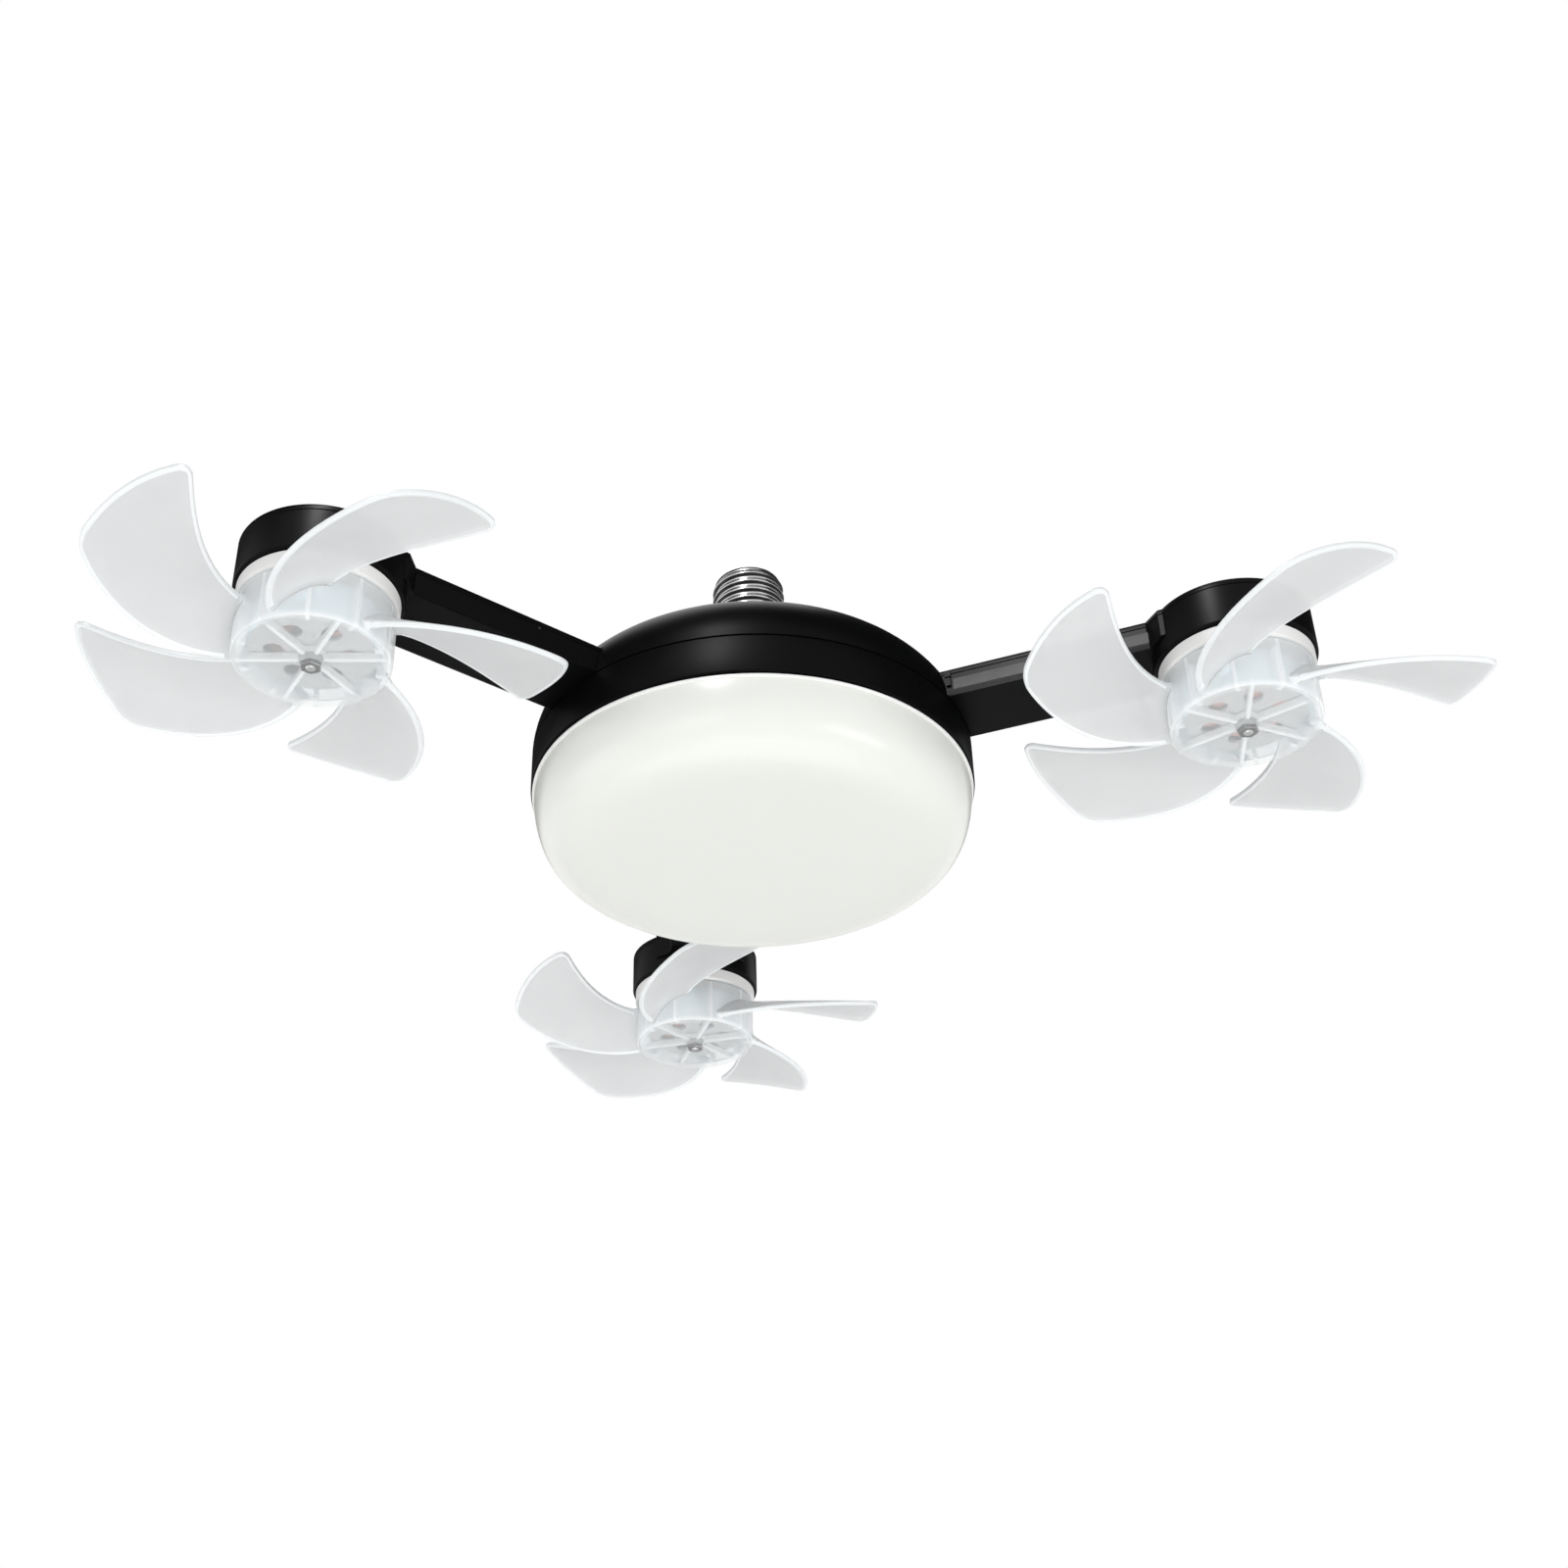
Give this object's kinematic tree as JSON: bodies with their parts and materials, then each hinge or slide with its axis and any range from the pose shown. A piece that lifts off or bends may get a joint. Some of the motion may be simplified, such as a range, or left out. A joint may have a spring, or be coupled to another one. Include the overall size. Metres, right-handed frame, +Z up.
{
  "type": "socket fan light",
  "caption": "Round ceiling light with a screw cap and opal diffuser; arms carry small motor heads, each spinning a frosted swept-blade impeller.",
  "frame": {"origin": "middle of the screw cap's centre contact, on its outer face", "axes": "+Z up out of the cap into the socket; +Y towards the back arm; +X towards the right arm's side; the lamp hangs along -Z"},
  "size_m": [0.4393, 0.3995, 0.1255],
  "materials": {
    "black_plastic": "satin moulded black plastic with a fine grain",
    "opal_diffuser": "opal white plastic, smooth with a soft gloss",
    "white_plastic": "moulded white plastic, semi gloss",
    "frosted_plastic": "translucent frosted plastic, matt underside and brighter edges",
    "cap_nickel": "bright nickel-plated sheet",
    "cap_glass": "black insulating glass",
    "steel": "zinc-plated steel",
    "rotor_steel": "drawn steel can with a bluish passivated finish",
    "bearing_brass": "sintered oil bronze sleeve",
    "copper_wire": "enamelled copper winding wire",
    "aluminium_plate": "plain rolled aluminium",
    "board_white": "white solder mask with LED packages",
    "board_green": "green circuit board with its components",
    "lead_sleeve": "grey-white cable sleeve",
    "ferrite": "bonded ferrite magnet ring"
  },
  "bodies": {
    "lamp": {"cap_contact": "cap_nickel", "cap_insulator": "cap_glass", "cap_shell": "cap_nickel", "neck": "black_plastic", "neck_lock_ring": "black_plastic", "top_housing": "black_plastic", "lamp_ring": "black_plastic", "heat_plate": "aluminium_plate", "led_board": "board_white", "diffuser": "opal_diffuser", "driver_board": "board_green", "receiver_board": "board_green", "body_screw_1": "steel", "body_screw_2": "steel", "body_screw_3": "steel", "arm_base_back": "black_plastic", "arm_cover_back": "black_plastic", "arm_lead_back": "lead_sleeve", "arm_screw_back": "steel", "motor_collar_back": "white_plastic", "shaft_bearing_back": "bearing_brass", "stator_core_back": "steel", "motor_windings_back": "copper_wire", "collar_screw_a_back": "steel", "collar_screw_b_back": "steel", "arm_base_left": "black_plastic", "arm_cover_left": "black_plastic", "arm_lead_left": "lead_sleeve", "arm_screw_left": "steel", "motor_collar_left": "white_plastic", "shaft_bearing_left": "bearing_brass", "stator_core_left": "steel", "motor_windings_left": "copper_wire", "collar_screw_a_left": "steel", "collar_screw_b_left": "steel", "arm_base_right": "black_plastic", "arm_cover_right": "black_plastic", "arm_lead_right": "lead_sleeve", "arm_screw_right": "steel", "motor_collar_right": "white_plastic", "shaft_bearing_right": "bearing_brass", "stator_core_right": "steel", "motor_windings_right": "copper_wire", "collar_screw_a_right": "steel", "collar_screw_b_right": "steel"},
    "fan_back": {"impeller_back": "frosted_plastic", "rotor_can_back": "rotor_steel", "magnet_ring_back": "ferrite", "motor_shaft_back": "steel", "hub_nut_back": "cap_nickel"},
    "fan_left": {"impeller_left": "frosted_plastic", "rotor_can_left": "rotor_steel", "magnet_ring_left": "ferrite", "motor_shaft_left": "steel", "hub_nut_left": "cap_nickel"},
    "fan_right": {"impeller_right": "frosted_plastic", "rotor_can_right": "rotor_steel", "magnet_ring_right": "ferrite", "motor_shaft_right": "steel", "hub_nut_right": "cap_nickel"}
  },
  "joints": [
    {"name": "fan_spin_back", "type": "hinge", "parent": "lamp", "child": "fan_back", "pos_m": [0, 0.1684, -0.106], "axis": [0, 0, 1], "continuous": true},
    {"name": "fan_spin_left", "type": "hinge", "parent": "lamp", "child": "fan_left", "pos_m": [-0.14584, -0.0842, -0.106], "axis": [0, 0, 1], "continuous": true},
    {"name": "fan_spin_right", "type": "hinge", "parent": "lamp", "child": "fan_right", "pos_m": [0.14584, -0.0842, -0.106], "axis": [0, 0, 1], "continuous": true}
  ]
}
